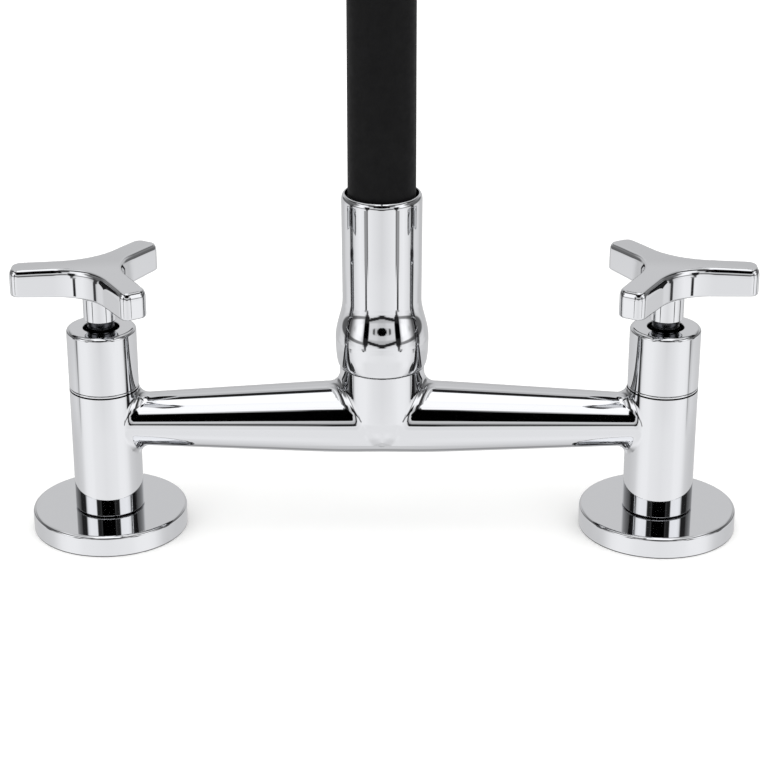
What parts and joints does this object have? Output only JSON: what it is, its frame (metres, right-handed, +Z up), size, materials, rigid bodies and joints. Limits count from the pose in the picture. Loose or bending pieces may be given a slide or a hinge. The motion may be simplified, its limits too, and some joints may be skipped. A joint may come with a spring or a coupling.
{
  "type": "kitchen faucet",
  "caption": "Deck-mounted two-hole bridge kitchen faucet with three-arm handles, a swivelling base sleeve and a flexible gooseneck spout ending in a spray head.",
  "frame": {"origin": "on the worktop's upper face, midway between the axes of the two inlets", "axes": "+X to the right along the bridge, +Y away from the user, +Z up"},
  "size_m": [0.2668, 0.249, 0.5801],
  "materials": {
    "chrome": "polished",
    "flange_chrome": "polished",
    "brass": "machined",
    "black_rubber": "matte",
    "hose_rubber": "matte",
    "clear_hose": "smooth",
    "steel": "brushed",
    "dark_steel": "satin",
    "ceramic": "ground",
    "white_plastic": "moulded",
    "chromed_plastic": "chrome plated",
    "black_plastic": "satin",
    "grey_plastic": "moulded"
  },
  "bodies": {
    "bridge": {"bridge_body": "chrome", "left_flange": "flange_chrome", "right_flange": "flange_chrome", "flange_seals": "black_rubber", "left_shank": "brass", "right_shank": "brass", "rubber_washers": "black_rubber", "clamp_washers": "steel", "lock_nuts": "brass", "left_cap": "chrome", "right_cap": "chrome", "left_cartridge": "brass", "right_cartridge": "brass", "seat_seals": "black_rubber", "fixed_discs": "ceramic"},
    "left_grip": {"left_handle": "chrome", "left_spindle": "dark_steel", "left_rotating_disc": "ceramic", "left_stem_seal": "black_rubber", "left_grub_screw": "steel"},
    "right_grip": {"right_handle": "chrome", "right_spindle": "dark_steel", "right_rotating_disc": "ceramic", "right_stem_seal": "black_rubber", "right_grub_screw": "steel"},
    "spout": {"spout_sleeve": "chrome", "swivel_nipple": "brass", "thrust_washer": "white_plastic", "swivel_seals": "black_rubber", "swivel_clip": "steel", "riser_tube": "steel", "hose_ferrule": "brass", "hose_cover": "hose_rubber", "gooseneck_core": "steel", "water_hose": "clear_hose"},
    "spray_head": {"tip_tube": "steel", "head_sleeve": "chrome", "head_body": "chromed_plastic", "check_valve": "white_plastic", "aerator": "grey_plastic", "head_seal": "black_rubber", "selector_clip": "steel"},
    "selector": {"selector_ring": "black_plastic", "spray_face": "black_rubber"}
  },
  "joints": [
    {"name": "left_handle_turn", "type": "hinge", "parent": "bridge", "child": "left_grip", "pos_m": [-0.1016, 0, 0.085], "axis": [0, 0, 1], "range_deg": [0, 90]},
    {"name": "right_handle_turn", "type": "hinge", "parent": "bridge", "child": "right_grip", "pos_m": [0.1016, 0, 0.085], "axis": [0, 0, -1], "range_deg": [0, 90]},
    {"name": "spout_swivel", "type": "hinge", "parent": "bridge", "child": "spout", "pos_m": [0, 0, 0.06], "axis": [0, 0, 1], "continuous": true},
    {"name": "spout_bend", "type": "hinge", "parent": "spout", "child": "spray_head", "pos_m": [0, -0.1, 0.4657], "axis": [1, 0, 0], "range_deg": [-30, 20], "deforming": ["hose_cover", "gooseneck_core", "water_hose"]},
    {"name": "spray_selector", "type": "hinge", "parent": "spray_head", "child": "selector", "pos_m": [0, -0.2, 0.283], "axis": [0, 0, 1], "range_deg": [0, 60]}
  ]
}
